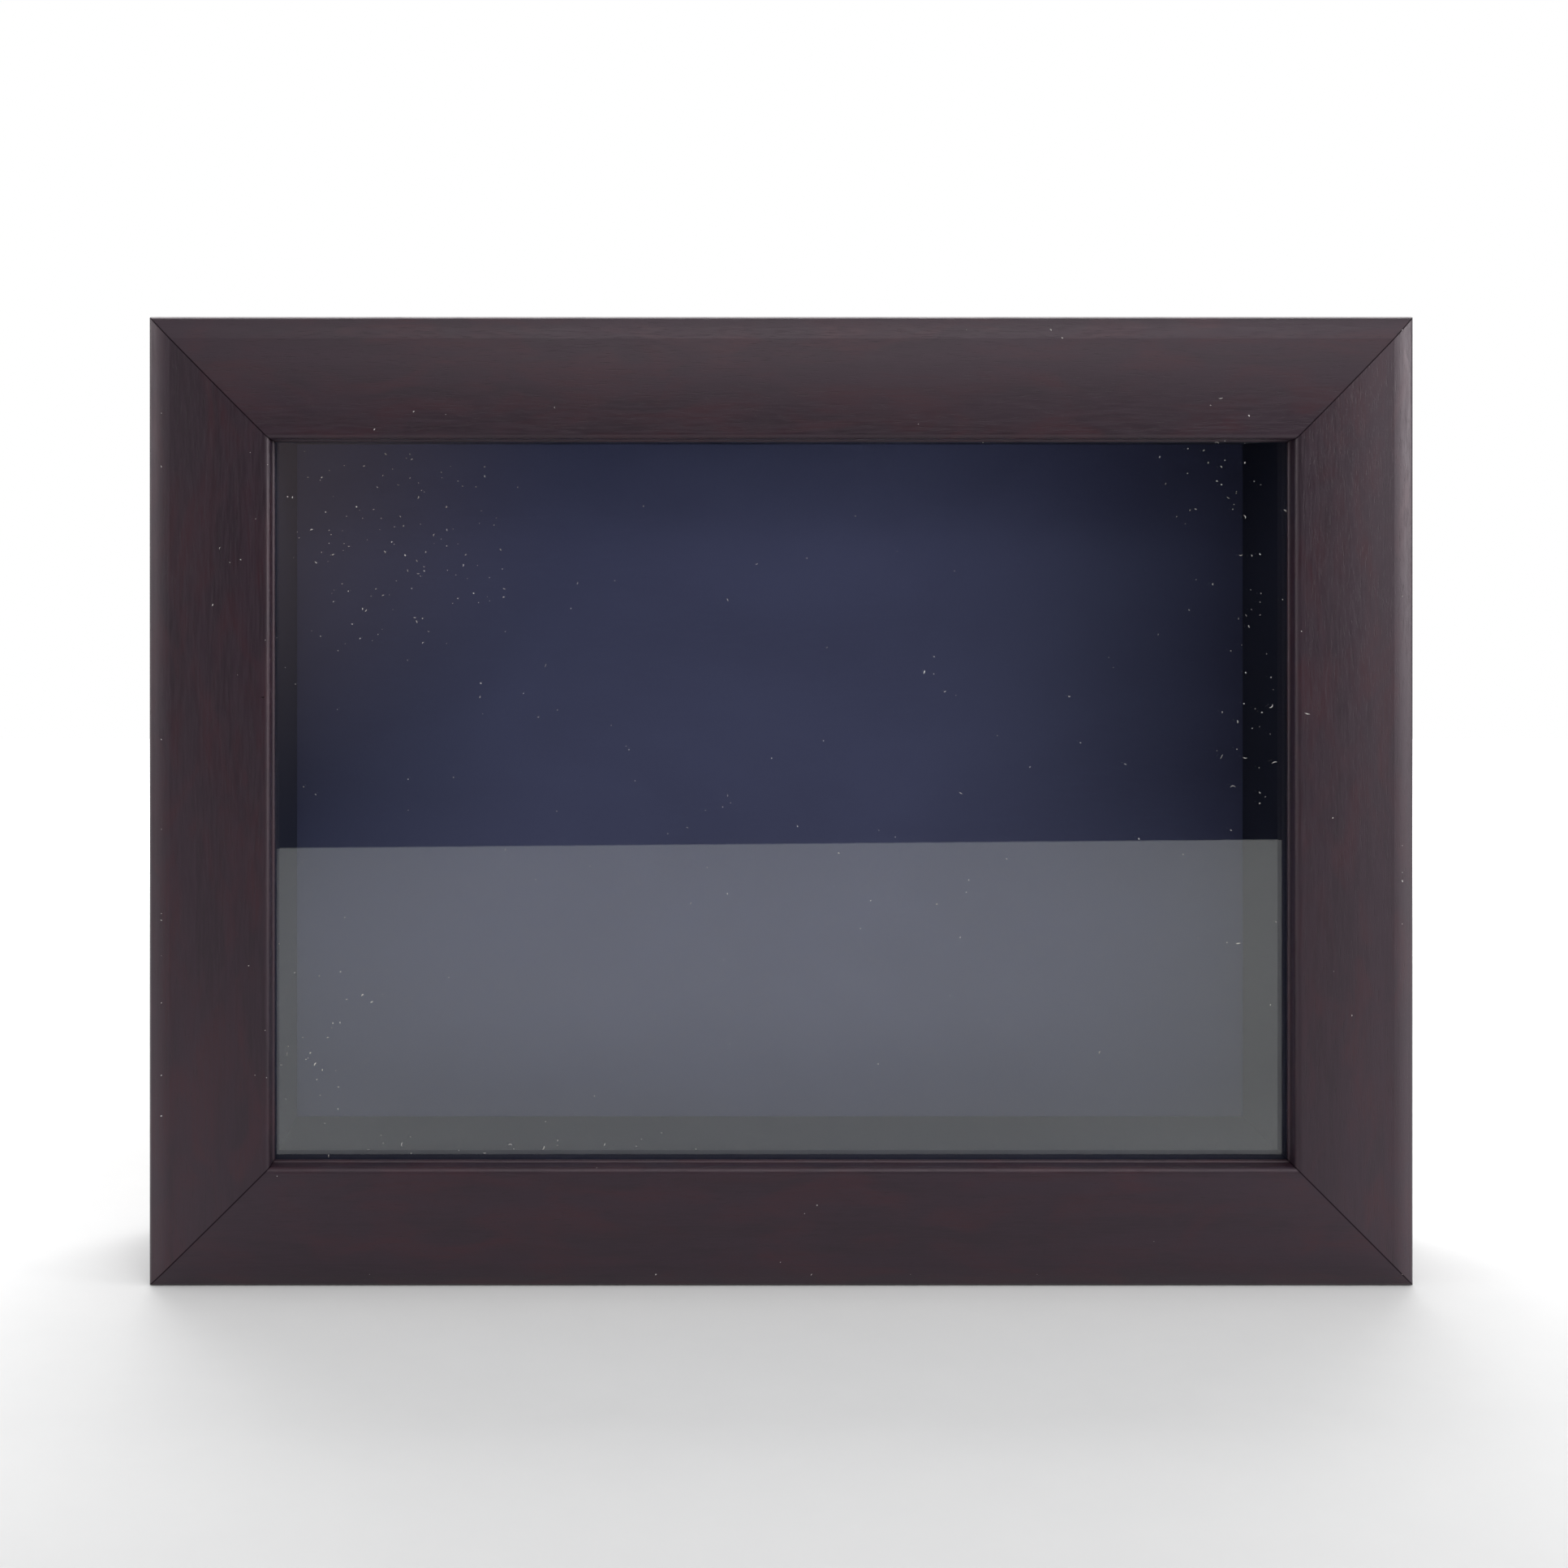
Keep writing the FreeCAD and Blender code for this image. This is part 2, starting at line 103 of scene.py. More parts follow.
# Painted shade and painted light: the pile is painted darker towards the sides than up the middle, from a
# low band upwards, standing in for the side walls' shadow, and painted paler at the top
PAINTED_LIGHT_MIDDLE_X = -0.012
PAINTED_SIDE_SHADE_REACH = (0.045, 0.175)
PAINTED_SIDE_SHADE_TONE = 0.55
PAINTED_SIDE_SHADE_ABOVE = (0.09, 0.15)
PAINTED_TOP_LIGHT_HEIGHTS = (0.175, 0.240)
PAINTED_TOP_LIGHT_TONE = 1.45

GLASS_MIRROR = 0.062  # share of light that each face of the glass mirrors head-on
GLASS_GLANCING_POWER = 5.0
GLASS_TINT = (0.965, 0.985, 0.975, 1.0)
WHITE = (1.0, 1.0, 1.0, 1.0)

# Pressed board: each one's light and dark tone, then the mottle and the fibres
GREY_BOARD = (0.45, 0.44, 0.41), (0.36, 0.35, 0.33)
BROWN_BOARD = (0.33, 0.205, 0.115), (0.24, 0.145, 0.080)
MOTTLE_SCALE = (18, 18, 18)
FIBRE_SCALES = (420, 420, 900), (900, 420, 420)
FIBRE_DISTORTION, FIBRE_RANGE, FIBRE_SHARE, FIBRE_PALER = 1.5, (0.55, 0.8), 0.55, 1.5
FIBRE_DEPTH, FIBRE_STRENGTH = 0.15 * MM, 0.5
BOARD_ROUGHNESS, BOARD_GLOSS = 0.85, 0.3

# Plated steel
BRIGHT_ZINC = (0.70, 0.70, 0.68)
DULL_STEEL = (0.38, 0.37, 0.36)
SPANGLE_SCALE, SPANGLE_SHADE = (400, 400, 400), 0.8
SCRATCH_SCALE, SCRATCH_DEPTH, SCRATCH_STRENGTH = (250, 5000, 4000), 0.01 * MM, 0.35
PLATE_ROUGHNESS = (0.24, 0.4)

# Rubber and lint
RUBBER_TONES = (0.012, 0.012, 0.012), (0.030, 0.029, 0.028)
RUBBER_GRAIN, RUBBER_DEPTH, RUBBER_STRENGTH, RUBBER_ROUGHNESS = 1800.0, 0.05 * MM, 0.6, 0.7
LINT_TONES = (0.30, 0.28, 0.27), (0.66, 0.63, 0.62)
LINT_GRAIN, LINT_RANGE, LINT_ROUGHNESS = 700.0, (0.35, 0.65), 0.8
SOFT_RANGE = (0.3, 0.7)  # the noise values that most tones run between
NOISE_ROUGHNESS = 0.55

# Soft edges: how wide each kind's bevel is
RAIL_BEVEL, LINING_BEVEL, PANEL_BEVEL, STEEL_BEVEL = 0.12 * MM, 0.4 * MM, 0.15 * MM, 0.12 * MM
BEVEL_SEGMENTS = 2
BEVEL_ANGLE = math.radians(32)

# The velvet sheet: how far it stands off the board's edges, its rolled edge, and its thickness
SHEET_WRAP, SHEET_ROLL, SHEET_CLOTH = 0.3 * MM, 0.7 * MM, 0.3 * MM
SHEET_ROLL_STEPS, SHEET_FACE_STEPS = 6, 12
SHEET_MIDDLE = 8  # the rings stop this many rolls short of the middle, and one face fills the rest
SHEET_CORNER, SHEET_LEAST_CORNER = 1.2 * MM, 0.2 * MM
RING_CORNER_STEPS, RING_SIDE_STEPS = 4, 24

# Camera: the picture plane is parallel to the face, and the lens is shifted to frame it
SENSOR = 36.0
FACE_SPAN = 0.44765  # width of the face plane that the picture takes in
LENS_DISTANCE = 0.600
LENS_X, LENS_Z = -0.045, 0.222
VIEW_X, VIEW_Z = 0.0004, 0.1451

# The table's front edge shows in the glass at this height, and it runs a little askew
REFLECTED_EDGE_Z = 0.1267
TABLE_SKEW = math.radians(3.1)
TABLE_HALF_WIDTH = 1.6
TABLE_BACK_Y = 1.45
TABLE_TOP_Z = -0.02 * MM
# Painted shade: the table is painted greyer towards the front, for the light falling off away from the back
TABLE_PAINTED_SHADE_DEPTHS = (-0.26, -0.09)  # where the table turns from its front tone to white
TABLE_PAINTED_FRONT_SHADE = 0.72
# Painted light: the table glows white far behind the box, in place of the light there
TABLE_PAINTED_GLOW_DEPTHS, TABLE_PAINTED_GLOW = (0.30, 0.90), 0.8
TABLE_TONES = (0.77, 0.772, 0.774), (0.80, 0.80, 0.80)
TABLE_GRAIN, TABLE_ROUGHNESS, TABLE_GLOSS = (60, 60, 60), 0.6, 0.3

# Softboxes, which the camera doesn't see: place, point aimed at, size and watts
SOFTBOXES = {
    "softbox_back_top": ((0.0, 0.7, 1.3), (0.0, 0.0, 0.1), (1.6, 0.8), 22.0),
    "softbox_front_top": ((0.2, -1.0, 1.1), (0.0, -0.3, 0.0), (1.2, 0.9), 7.6),
    "softbox_front_high": ((0.1, -1.3, 0.78), (0.0, 0.0, 0.14), (1.4, 0.4), 2.0),
    "softbox_left": ((-1.3, 0.1, 0.5), (0.0, 0.0, 0.14), (0.8, 0.8), 4.0),
    "softbox_left_side": ((-1.35, -0.45, 0.45), (0.0, 0.0, 0.14), (0.5, 0.7), 3.2),
    "softbox_left_front": ((-0.95, -1.0, 0.45), (0.0, 0.0, 0.14), (0.5, 0.6), 0.9),
    "softbox_right": ((1.3, 0.1, 0.5), (0.0, 0.0, 0.14), (0.8, 0.8), 2.5),
    "softbox_right_side": ((1.35, -0.45, 0.45), (0.0, 0.0, 0.14), (0.5, 0.7), 9.0),
    "softbox_right_front": ((1.0, -0.8, 0.40), (0.0, 0.0, 0.14), (0.5, 0.6), 2.2),
}

# What the room adds: the direction it grows in, where it starts and peaks, and its strength
GLOWS = (
    ("Z", 0.5, 1.0, 0.57),
    ("X", -0.4, -1.0, 0.23),
)
# A dim brown thing in the room, which shows in the glass at its upper left
ROOM_PATCH_TOWARDS = (-0.21, -0.97, 0.03)
ROOM_PATCH_COLOUR = (1.0, 0.78, 0.82, 1.0)
ROOM_PATCH_GLOW = 0.30
ROOM_PATCH_FADES = (0.20, 0.02)

# Where dust gathered: how many flecks, their centre and spread as shares of the pane, and the longest
DUST = (
    (150, (0.13, 0.84), (0.075, 0.085), 0.9 * MM),
    (46, (0.955, 0.62), (0.018, 0.17), 1.8 * MM),
    (26, (0.93, 0.93), (0.030, 0.04), 1.6 * MM),
    (34, (0.05, 0.16), (0.030, 0.10), 1.1 * MM),
    (18, (0.24, 0.035), (0.100, 0.008), 1.3 * MM),
    (90, (0.50, 0.50), (0.300, 0.300), 1.2 * MM),
    (40, (0.50, 0.50), (0.480, 0.480), 0.8 * MM),
)
DUST_WIDTHS = (0.16 * MM, 0.40 * MM)
DUST_MARGIN = 4 * MM
DUST_SHORTEST, DUST_LENGTH_POWER = 0.20, 2.5  # most flecks are near the shortest share of the longest
DUST_BEND = 1.2
DUST_SEED = 475
FLECK_STATIONS, FLECK_SIDES = 5, 5
FLECK_TIP, FLECK_RISE = 0.25, 0.2
IN_FRONT = 0.1  # where a ray starts, in front of the face


# ---- Node helpers ----


def new_material(name):
    material = bpy.data.materials.new(name)
    material.use_nodes = True
    material.node_tree.nodes.clear()
    return material


def add(tree, kind, inputs=None, **settings):
    """Adds a node. An input may be a value or another node's socket."""
    made = tree.nodes.new(kind)
    for key, value in settings.items():
        setattr(made, key, value)
    for key, value in (inputs or {}).items():
        if isinstance(value, bpy.types.NodeSocket):
            tree.links.new(value, made.inputs[key])
        else:
            made.inputs[key].default_value = value
    return made


def place(tree, scale, offset=(0, 0, 0)):
    """The CAD frame's coordinates, scaled and moved for a texture."""
    source = add(tree, "ShaderNodeTexCoord").outputs["Object"]
    mapping = add(tree, "ShaderNodeMapping", {"Vector": source, "Scale": scale, "Location": offset})
    return mapping.outputs["Vector"]


def noise(tree, vector, scale=1.0, detail=4.0, distortion=0.0):
    inputs = {
        "Vector": vector,
        "Scale": scale,
        "Detail": detail,
        "Roughness": NOISE_ROUGHNESS,
        "Distortion": distortion,
    }
    return add(tree, "ShaderNodeTexNoise", inputs).outputs["Fac"]


def spread(tree, value, low, high, to_low=0.0, to_high=1.0):
    """Maps a range smoothly onto another one."""
    inputs = {
        "Value": value,
        "From Min": low,
        "From Max": high,
        "To Min": to_low,
        "To Max": to_high,
    }
    return add(tree, "ShaderNodeMapRange", inputs, interpolation_type="SMOOTHSTEP").outputs["Result"]


def maths(tree, operation, a, b):
    return add(tree, "ShaderNodeMath", {0: a, 1: b}, operation=operation).outputs[0]


def share(tree, part, value):
    return maths(tree, "MULTIPLY", value, part)


def blend(tree, factor, a, b):
    """Mixes two colours by a socket's value."""
    made = add(tree, "ShaderNodeMix", data_type="RGBA")
    tree.links.new(factor, made.inputs[0])
    for socket, value in ((made.inputs[6], a), (made.inputs[7], b)):
        if isinstance(value, bpy.types.NodeSocket):
            tree.links.new(value, socket)
        else:
            socket.default_value = (*value, 1.0)
    return made.outputs[2]


def dim(tree, colour, factor):
    return add(tree, "ShaderNodeVectorMath", {0: colour, "Scale": factor}, operation="SCALE").outputs[0]


def shaded(colour, factor):
    return tuple(min(1.0, factor * channel) for channel in colour)


def coordinates(tree):
    """The CAD frame's X, Y and Z."""
    source = add(tree, "ShaderNodeTexCoord").outputs["Object"]
    return add(tree, "ShaderNodeSeparateXYZ", {0: source}).outputs


def bump(tree, height, distance, strength):
    inputs = {"Height": height, "Distance": distance, "Strength": strength}
    return add(tree, "ShaderNodeBump", inputs).outputs["Normal"]


def finish_with(material, inputs):
    """Ends a material in one Principled shader."""
    tree = material.node_tree
    shader = add(tree, "ShaderNodeBsdfPrincipled", inputs)
    output = add(tree, "ShaderNodeOutputMaterial")
    tree.links.new(shader.outputs["BSDF"], output.inputs["Surface"])
    return material


def steps(along, length, width):
    """Texture scales for marks of one length along the grain and one width across it."""
    return tuple(1 / length if axis == along else 1 / width for axis in "XYZ")


# ---- Materials ----


def mitre_line(tree):
    """1 along the four mitres, falling to 0 beside them."""
    parts = coordinates(tree)
    low, high = CAD_BOX
    half_z = (high[2] - low[2]) / 2
    from_middle_x = maths(tree, "ABSOLUTE", parts["X"], 0.0)
    above_middle = maths(tree, "SUBTRACT", parts["Z"], low[2] + half_z)
    from_middle_z = maths(tree, "ABSOLUTE", above_middle, 0.0)
    in_x = maths(tree, "SUBTRACT", high[0], from_middle_x)
    in_z = maths(tree, "SUBTRACT", half_z, from_middle_z)
    apart = maths(tree, "ABSOLUTE", maths(tree, "SUBTRACT", in_x, in_z), 0.0)
    return spread(tree, apart, MITRE_CORE, MITRE_LINE, 1.0, 0.0)


def wood_mark(tree, mark, along, offset):
    length, width, detail, distortion = mark
    vector = place(tree, steps(along, length, width), offset)
    return noise(tree, vector, detail=detail, distortion=distortion)


def stained_wood(name, along, offset):
    """Espresso-stained wood with a satin lacquer: short dark pores and soft red figure along the rail."""
    material = new_material(name)
    tree = material.node_tree
    cloud = wood_mark(tree, WOOD_CLOUD, along, offset)
    figure = wood_mark(tree, WOOD_FIGURE, along, offset)
    streaks = wood_mark(tree, WOOD_STREAKS, along, offset)
    pores = spread(tree, wood_mark(tree, WOOD_PORES, along, offset), *PORE_RANGE)
    stain = blend(tree, spread(tree, figure, *FIGURE_RANGE), WOOD_DARK, WOOD_MIDDLE)
    reddened = blend(tree, share(tree, CLOUD_SHARE, spread(tree, cloud, *CLOUD_RANGE)), stain, WOOD_RED)
    light = share(tree, STREAK_SHARE, spread(tree, streaks, *STREAK_RANGE))
    streaked = blend(tree, light, reddened, WOOD_LIGHT)
    porous = blend(tree, share(tree, PORE_SHARE, pores), streaked, WOOD_PORE)
    joint = mitre_line(tree)
    colour = blend(tree, share(tree, MITRE_SHARE, joint), porous, WOOD_PORE)
    relief = maths(tree, "SUBTRACT", share(tree, STREAK_RELIEF, streaks), pores)
    return finish_with(
        material,
        {
            "Base Color": colour,
            "Roughness": spread(tree, streaks, *LACQUER_RANGE, *LACQUER_ROUGHNESS),
            "Normal": bump(tree, relief, WOOD_RELIEF_DEPTH, WOOD_RELIEF_STRENGTH),
            "Specular IOR Level": spread(tree, joint, 0.0, 1.0, LACQUER_GLOSS, MITRE_GLOSS),
            "Specular Tint": LACQUER_TINT,
        },
    )


def velvet(name, tones, sheen):
    """Short dense pile: a fine grain, soft areas and sheen, with painted shade towards the sides and
    painted light at the top.
    """
    material = new_material(name)
    tree = material.node_tree
    base, tip = tones
    brushed = noise(tree, place(tree, BRUSHED_SCALE), detail=3.0, distortion=0.6)
    strokes = noise(tree, place(tree, STROKE_SCALE), detail=3.0)
    pile = noise(tree, place(tree, (1, 1, 1)), scale=PILE_SCALE, detail=3.0)
    area = blend(tree, spread(tree, brushed, *BRUSHED_RANGE), base, tip)
    stroked = blend(tree, spread(tree, strokes, *STROKE_RANGE, 0.0, STROKE_SHARE), area, tip)
    piled = blend(tree, spread(tree, pile, *PILE_RANGE, 0.0, PILE_SHARE), stroked, shaded(base, PILE_SHADE))
    # Painted shade: darker away from the middle and above a low band, for the side walls' shadow. Painted
    # light: paler towards the top
    parts = coordinates(tree)
    aside = maths(tree, "ABSOLUTE", maths(tree, "SUBTRACT", parts["X"], PAINTED_LIGHT_MIDDLE_X), 0.0)
    above = spread(tree, parts["Z"], *PAINTED_SIDE_SHADE_ABOVE)
    painted_side_shade = maths(tree, "MULTIPLY", spread(tree, aside, *PAINTED_SIDE_SHADE_REACH), above)
    across = maths(tree, "SUBTRACT", 1.0, share(tree, 1.0 - PAINTED_SIDE_SHADE_TONE, painted_side_shade))
    tone = maths(tree, "MULTIPLY", across, spread(tree, parts["Z"], *PAINTED_TOP_LIGHT_HEIGHTS, 1.0, PAINTED_TOP_LIGHT_TONE))
    return finish_with(
        material,
        {
            "Base Color": dim(tree, piled, tone),
            "Roughness": VELVET_ROUGHNESS,
            "Specular IOR Level": VELVET_GLOSS,
            "Sheen Weight": sheen,
            "Sheen Roughness": SHEEN_ROUGHNESS,
            "Sheen Tint": SHEEN_TINT,
            "Normal": bump(tree, pile, PILE_DEPTH, PILE_STRENGTH),
        },
    )


def clear_glass(name):
    """Each face mirrors more at a glancing angle, alike from both sides, and passes the rest unbent."""
    material = new_material(name)
    tree = material.node_tree
    facing = add(tree, "ShaderNodeLayerWeight", {"Blend": 0.5}).outputs["Facing"]
    glancing = share(tree, 1.0 - GLASS_MIRROR, maths(tree, "POWER", facing, GLASS_GLANCING_POWER))
    mirrored = maths(tree, "ADD", glancing, GLASS_MIRROR)
    through = add(tree, "ShaderNodeBsdfTransparent", {"Color": GLASS_TINT})
    mirror = add(tree, "ShaderNodeBsdfGlossy", {"Color": WHITE, "Roughness": 0.0})
    mix = add(tree, "ShaderNodeMixShader", {0: mirrored, 1: through.outputs[0], 2: mirror.outputs[0]})
    output = add(tree, "ShaderNodeOutputMaterial")
    tree.links.new(mix.outputs[0], output.inputs["Surface"])
    return material


def fibreboard(name, tones):
    """Pressed fibre: matted flecks over a soft mottle."""
    material = new_material(name)
    tree = material.node_tree
    light, dark = tones
    mottle = noise(tree, place(tree, MOTTLE_SCALE), detail=4.0)
    fibre, crossed = (
        noise(tree, place(tree, scale), detail=4.0, distortion=FIBRE_DISTORTION) for scale in FIBRE_SCALES
    )
    matted = maths(tree, "MAXIMUM", fibre, crossed)
    ground = blend(tree, spread(tree, mottle, *SOFT_RANGE), dark, light)
    flecks = spread(tree, matted, *FIBRE_RANGE, 0.0, FIBRE_SHARE)
    return finish_with(
        material,
        {
            "Base Color": blend(tree, flecks, ground, shaded(light, FIBRE_PALER)),
            "Roughness": BOARD_ROUGHNESS,
            "Specular IOR Level": BOARD_GLOSS,
            "Normal": bump(tree, matted, FIBRE_DEPTH, FIBRE_STRENGTH),
        },
    )


def plated_steel(name, colour):
    """Zinc plate: faint spangle, fine rolling scratches and a roughness that wanders."""
    material = new_material(name)
    tree = material.node_tree
    spangle = noise(tree, place(tree, SPANGLE_SCALE), detail=3.0)
    scratches = noise(tree, place(tree, SCRATCH_SCALE), detail=2.0)
    tone = blend(tree, spread(tree, spangle, *SOFT_RANGE), shaded(colour, SPANGLE_SHADE), colour)
    return finish_with(
        material,
        {
            "Base Color": tone,
            "Metallic": 1.0,
            "Roughness": spread(tree, spangle, *SOFT_RANGE, *PLATE_ROUGHNESS),
            "Normal": bump(tree, scratches, SCRATCH_DEPTH, SCRATCH_STRENGTH),
        },
    )


def rubber(name):
    material = new_material(name)
    tree = material.node_tree
    grain = noise(tree, place(tree, (1, 1, 1)), scale=RUBBER_GRAIN, detail=3.0)
    return finish_with(
        material,
        {
            "Base Color": blend(tree, spread(tree, grain, *SOFT_RANGE), *RUBBER_TONES),
            "Roughness": RUBBER_ROUGHNESS,
            "Normal": bump(tree, grain, RUBBER_DEPTH, RUBBER_STRENGTH),
        },
    )


def lint_material(name):
    material = new_material(name)
    tree = material.node_tree
    tone = noise(tree, place(tree, (1, 1, 1)), scale=LINT_GRAIN, detail=2.0)
    colour = blend(tree, spread(tree, tone, *LINT_RANGE), *LINT_TONES)
    return finish_with(material, {"Base Color": colour, "Roughness": LINT_ROUGHNESS})


def table_top(name):
    """White, with painted shade greying it towards the front, and a painted glow far behind the box
    standing in for the light there.
    """
    material = new_material(name)
    tree = material.node_tree
    grain = noise(tree, place(tree, TABLE_GRAIN), detail=4.0)
    depth = coordinates(tree)["Y"]
    nearness = spread(tree, depth, *TABLE_PAINTED_SHADE_DEPTHS, TABLE_PAINTED_FRONT_SHADE, 1.0)
    return finish_with(
        material,
        {
            "Base Color": dim(tree, blend(tree, grain, *TABLE_TONES), nearness),
            "Roughness": TABLE_ROUGHNESS,
            "Specular IOR Level": TABLE_GLOSS,
            # Painted light: an emitted glow far behind the box
            "Emission Color": WHITE,
            "Emission Strength": spread(tree, depth, *TABLE_PAINTED_GLOW_DEPTHS, 0.0, TABLE_PAINTED_GLOW),
        },
    )


# ---- CAD nodes: finish and soft edges ----


def give(node, material):
    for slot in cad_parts[node].material_slots:
        slot.link = "OBJECT"
        slot.material = material


def soften(node, width):
    """A fine bevel on sharp edges."""
    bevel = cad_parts[node].modifiers.new("soft_edges", "BEVEL")
    bevel.width = width
    bevel.segments = BEVEL_SEGMENTS
    bevel.limit_method = "ANGLE"
    bevel.angle_limit = BEVEL_ANGLE
    bevel.harden_normals = True


def dress_cad():
    for index, (node, along) in enumerate(RAILS.items()):
        offset = tuple(index * step for step in RAIL_GRAIN_STEP)
        give(node, stained_wood(f"stained_wood_{node}", along, offset))
        soften(node, RAIL_BEVEL)
    lining = velvet("navy_lining", LINING_TONES, LINING_SHEEN)
    for node in LININGS:
        give(node, lining)
        soften(node, LINING_BEVEL)
    give("glass_pane", clear_glass("clear_glass"))
    give("display_board", fibreboard("grey_board", GREY_BOARD))
    give("back_panel", fibreboard("brown_fibreboard", BROWN_BOARD))
    soften("back_panel", PANEL_BEVEL)
    steel = plated_steel("zinc_plated_steel", BRIGHT_ZINC)
    for node in HARDWARE:
        give(node, steel)
        soften(node, STEEL_BEVEL)
    give("corner_v_nails", plated_steel("dull_nail_steel", DULL_STEEL))
    give("wall_bumpers", rubber("black_rubber"))


# ---- New pieces ----


def as_object(name, mesh, material):
    made = bpy.data.objects.new(name, mesh)
    bpy.context.scene.collection.objects.link(made)
    mesh.materials.append(material)
    return made


def rounded_ring(half_x, half_z, radius):
    """Points round a rectangle with rounded corners, in X and Z, always the same number."""
    points = []
    corners = ((1, 1, 0), (-1, 1, 90), (-1, -1, 180), (1, -1, 270))
    for side_x, side_z, start in corners:
        centre_x = side_x * (half_x - radius)
        centre_z = side_z * (half_z - radius)
        for step in range(RING_CORNER_STEPS + 1):
            angle = math.radians(start + 90 * step / RING_CORNER_STEPS)
            points.append((centre_x + radius * math.cos(angle), centre_z + radius * math.sin(angle)))
    ring = []
    for index, point in enumerate(points):
        ring.append(point)
        if index % (RING_CORNER_STEPS + 1) == RING_CORNER_STEPS:
            following = points[(index + 1) % len(points)]
            for step in range(1, RING_SIDE_STEPS):
                part = step / RING_SIDE_STEPS
                ring.append(tuple(a + (b - a) * part for a, b in zip(point, following)))
    return ring


def velvet_sheet():
    """Velvet stretched over the board's face and turned back over its edges."""
    low, high = (Vector(corner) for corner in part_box("velvet_cover"))
    rear_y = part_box("display_board")[1][1]
    middle = (low + high) / 2
    half_x = (high.x - low.x) / 2 + SHEET_WRAP
    half_z = (high.z - low.z) / 2 + SHEET_WRAP
    profile = [(0.0, rear_y)]  # how far in from the outline, and the depth
    for step in range(SHEET_ROLL_STEPS + 1):
        angle = math.radians(90 * step / SHEET_ROLL_STEPS)
        profile.append((SHEET_ROLL * (1 - math.cos(angle)), low.y + SHEET_ROLL * (1 - math.sin(angle))))
    for step in range(1, SHEET_FACE_STEPS):
        reach = (half_z - SHEET_MIDDLE * SHEET_ROLL) * step / SHEET_FACE_STEPS
        profile.append((SHEET_ROLL + reach, low.y))
    sheet = bmesh.new()
    rings = []
    for inset, y in profile:
        radius = max(SHEET_LEAST_CORNER, SHEET_CORNER - inset)
        outline = rounded_ring(half_x - inset, half_z - inset, radius)
        rings.append([sheet.verts.new((middle.x + x, y, middle.z + z)) for x, z in outline])
    for outer, inside in zip(rings, rings[1:]):
        for index in range(len(outer)):
            after = (index + 1) % len(outer)
            sheet.faces.new((outer[index], outer[after], inside[after], inside[index]))
    sheet.faces.new(rings[-1])
    bmesh.ops.recalc_face_normals(sheet, faces=sheet.faces)
    mesh = bpy.data.meshes.new("velvet_sheet")
    sheet.to_mesh(mesh)
    sheet.free()
    mesh.shade_smooth()
    piece = as_object("velvet_sheet", mesh, velvet("navy_velvet", VELVET_TONES, VELVET_SHEEN))
    thicken = piece.modifiers.new("cloth", "SOLIDIFY")
    thicken.thickness = SHEET_CLOTH
    thicken.offset = -1.0
    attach(piece, "back")
    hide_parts("velvet_cover")
    return piece


def fleck(target, centre, length, width, turn, bend):
    """A bent fibre or speck that tapers at both ends, lying in the XZ plane."""
    rings = []
    for station in range(FLECK_STATIONS):
        part = station / (FLECK_STATIONS - 1) - 0.5
        angle = turn + bend * part
        along = Vector((math.cos(angle), 0, math.sin(angle)))
        across = Vector((-along.z, 0, along.x))
        middle = centre + along * (length * part)
        thick = width * (FLECK_TIP + (1 - FLECK_TIP) * math.cos(math.pi * part))
        ring = []
        for side in range(FLECK_SIDES):
            round_it = 2 * math.pi * side / FLECK_SIDES
            offset = across * (thick / 2 * math.cos(round_it))
            offset.y = -FLECK_RISE * thick * (1 + math.sin(round_it))
            point = middle + offset
            point.y = max(point.y, FACE_Y)
            ring.append(target.verts.new(point))
        rings.append(ring)
    for near, far in zip(rings, rings[1:]):
        for side in range(FLECK_SIDES):
            after = (side + 1) % FLECK_SIDES
            target.faces.new((near[side], near[after], far[after], far[side]))
    target.faces.new(rings[0][::-1])
    target.faces.new(rings[-1])


def surface_in_front(x, z):
    """The frontmost point of the glass or a rail there, seen from the front."""
    start = Vector((x, FACE_Y - IN_FRONT, z))
    hits = []
    for node in (*RAILS, "glass_pane"):
        hit, point, _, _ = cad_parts[node].ray_cast(start, Vector((0, 1, 0)))
        if hit:
            hits.append(point)
    return min(hits, key=lambda point: point.y)


def dust():
    """Lint and specks, denser in a few places, mostly on the glass."""
    chance = random.Random(DUST_SEED)
    flecks = bmesh.new()
    size = GLASS_HIGH - GLASS_LOW
    for count, centre, spread_by, longest in DUST:
        for _ in range(count):
            x = GLASS_LOW.x + size.x * chance.gauss(centre[0], spread_by[0])
            z = GLASS_LOW.z + size.z * chance.gauss(centre[1], spread_by[1])
            x = min(max(x, CAD_BOX[0][0] + DUST_MARGIN), CAD_BOX[1][0] - DUST_MARGIN)
            z = min(max(z, CAD_BOX[0][2] + DUST_MARGIN), CAD_BOX[1][2] - DUST_MARGIN)
            length = longest * (DUST_SHORTEST + (1 - DUST_SHORTEST) * chance.random() ** DUST_LENGTH_POWER)
            width = min(length, chance.uniform(*DUST_WIDTHS))
            turn = chance.uniform(0, math.pi)
            bend = chance.uniform(-DUST_BEND, DUST_BEND)
            fleck(flecks, surface_in_front(x, z), length, width, turn, bend)
    mesh = bpy.data.meshes.new("dust")
    flecks.to_mesh(mesh)
    flecks.free()
    mesh.shade_smooth()
    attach(as_object("dust", mesh, lint_material("pale_lint")), "frame")


# ---- Studio ----


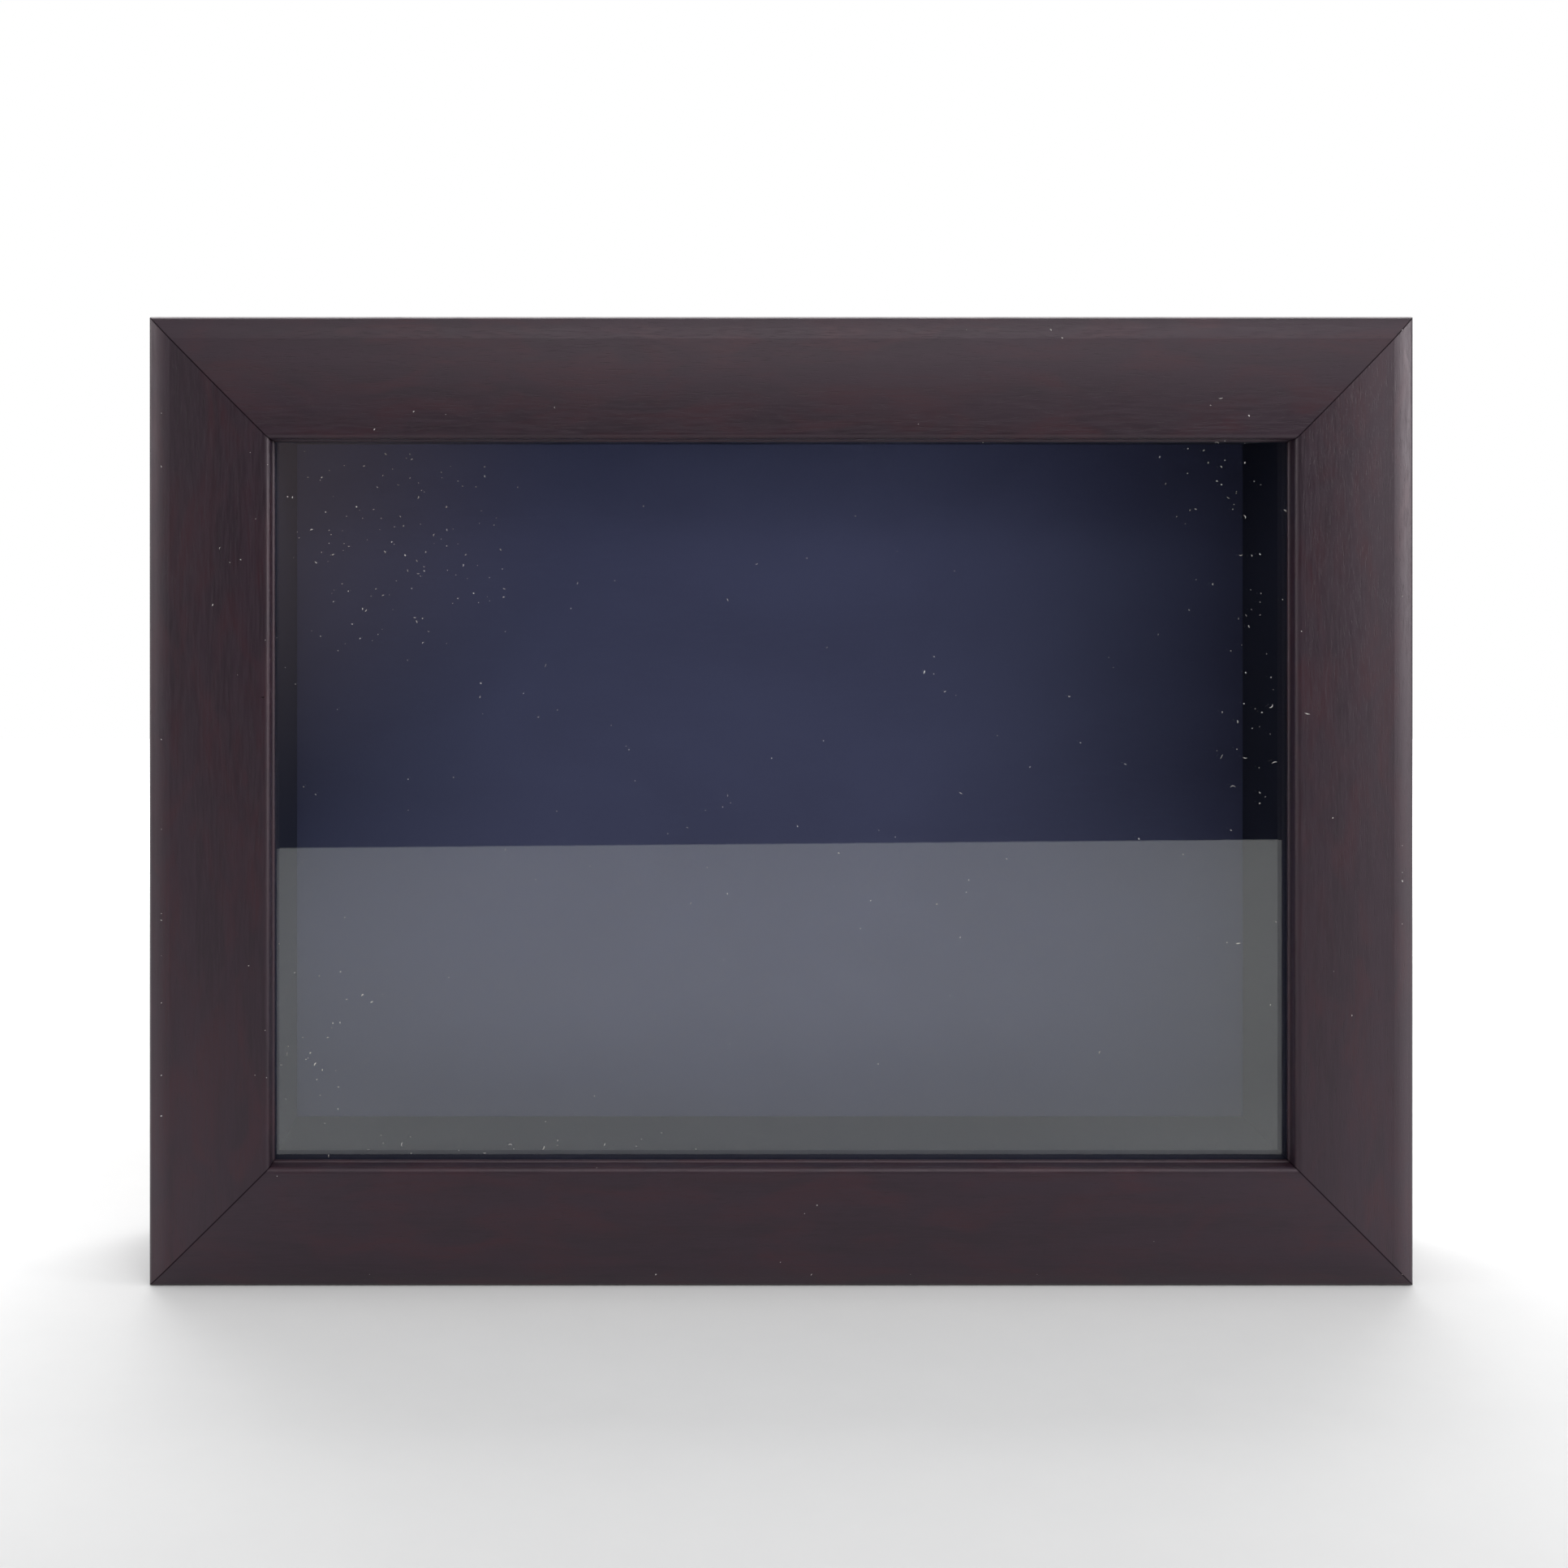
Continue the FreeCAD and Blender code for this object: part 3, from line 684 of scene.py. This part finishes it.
def camera():
    data = bpy.data.cameras.new("camera")
    data.sensor_width = SENSOR
    data.lens = SENSOR * LENS_DISTANCE / FACE_SPAN
    data.shift_x = (VIEW_X - LENS_X) / FACE_SPAN
    data.shift_y = (VIEW_Z - LENS_Z) / FACE_SPAN
    made = bpy.data.objects.new("camera", data)
    made.location = (LENS_X, FACE_Y - LENS_DISTANCE, LENS_Z)
    made.rotation_euler = (math.radians(90), 0, 0)
    bpy.context.scene.collection.objects.link(made)
    bpy.context.scene.camera = made


def table():
    """The floor ends where the glass shows its front edge."""
    glass_distance = LENS_DISTANCE + GLASS_LOW.y - FACE_Y
    reach = glass_distance * REFLECTED_EDGE_Z / (LENS_Z - REFLECTED_EDGE_Z)
    front_y = GLASS_LOW.y - reach
    slope = math.tan(TABLE_SKEW)
    corners = [
        (-TABLE_HALF_WIDTH, front_y + slope * (TABLE_HALF_WIDTH - LENS_X), TABLE_TOP_Z),
        (TABLE_HALF_WIDTH, front_y - slope * (TABLE_HALF_WIDTH + LENS_X), TABLE_TOP_Z),
        (TABLE_HALF_WIDTH, TABLE_BACK_Y, TABLE_TOP_Z),
        (-TABLE_HALF_WIDTH, TABLE_BACK_Y, TABLE_TOP_Z),
    ]
    mesh = bpy.data.meshes.new("table_top")
    mesh.from_pydata(corners, [], [(0, 1, 2, 3)])
    as_object("table_top", mesh, table_top("white_table"))


def softbox(name, position, aim, size, watts):
    data = bpy.data.lights.new(name, "AREA")
    data.shape = "RECTANGLE"
    data.size, data.size_y = size
    data.energy = watts
    made = bpy.data.objects.new(name, data)
    made.location = position
    made.visible_camera = False
    made.rotation_euler = (Vector(aim) - Vector(position)).to_track_quat("-Z", "Y").to_euler()
    bpy.context.scene.collection.objects.link(made)


def surroundings():
    """A soft glow above and to the left in a dark room. The camera itself looks onto plain white."""
    world = bpy.data.worlds.new("studio")
    world.use_nodes = True
    tree = world.node_tree
    tree.nodes.clear()
    direction = add(tree, "ShaderNodeTexCoord").outputs["Generated"]
    parts = add(tree, "ShaderNodeSeparateXYZ", {0: direction}).outputs
    total = 0.0
    for axis, starts, peaks, strength in GLOWS:
        glow = spread(tree, parts[axis], starts, peaks, 0.0, strength)
        total = maths(tree, "ADD", glow, total)
    aside = add(tree, "ShaderNodeVectorMath", {0: direction, 1: ROOM_PATCH_TOWARDS}, operation="DISTANCE")
    patch = spread(tree, aside.outputs["Value"], *ROOM_PATCH_FADES, 0.0, ROOM_PATCH_GLOW)
    white = add(tree, "ShaderNodeBackground", {"Color": WHITE, "Strength": 1.0})
    lit = add(tree, "ShaderNodeBackground", {"Color": WHITE, "Strength": total})
    brown = add(tree, "ShaderNodeBackground", {"Color": ROOM_PATCH_COLOUR, "Strength": patch})
    room = add(tree, "ShaderNodeAddShader", {0: lit.outputs[0], 1: brown.outputs[0]})
    seen = add(tree, "ShaderNodeLightPath").outputs["Is Camera Ray"]
    mix = add(tree, "ShaderNodeMixShader", {0: seen, 1: room.outputs[0], 2: white.outputs[0]})
    output = add(tree, "ShaderNodeOutputWorld")
    tree.links.new(mix.outputs[0], output.inputs["Surface"])
    bpy.context.scene.world = world


camera()
table()
surroundings()
for name, (position, aim, size, watts) in SOFTBOXES.items():
    softbox(name, position, aim, size, watts)
dress_cad()
velvet_sheet()
dust()
bpy.context.scene.view_settings.view_transform = "Standard"
